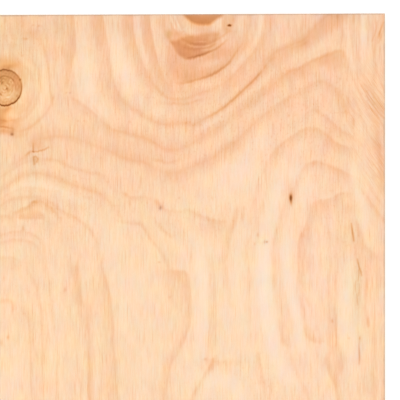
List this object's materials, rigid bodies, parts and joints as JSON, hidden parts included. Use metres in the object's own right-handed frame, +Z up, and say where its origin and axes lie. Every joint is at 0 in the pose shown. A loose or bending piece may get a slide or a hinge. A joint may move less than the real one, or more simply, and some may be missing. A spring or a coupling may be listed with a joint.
{
  "type": "plywood sheet",
  "caption": "Flat rectangular softwood plywood sheet with a knotty cathedral-grained face, sawn edges that show the glued veneers, and slightly worn arrises.",
  "frame": {"origin": "middle of the underside, on the floor that the sheet lies on", "axes": "+X across the width, +Y along the length and the grain of the face, +Z up through the thickness, towards the better face"},
  "size_m": [1.2192, 2.4384, 0.0111],
  "materials": {
    "veneer": "bare, touch-sanded rotary-cut softwood veneer"
  },
  "bodies": {
    "root": {"plywood_sheet": "veneer"}
  },
  "joints": []
}
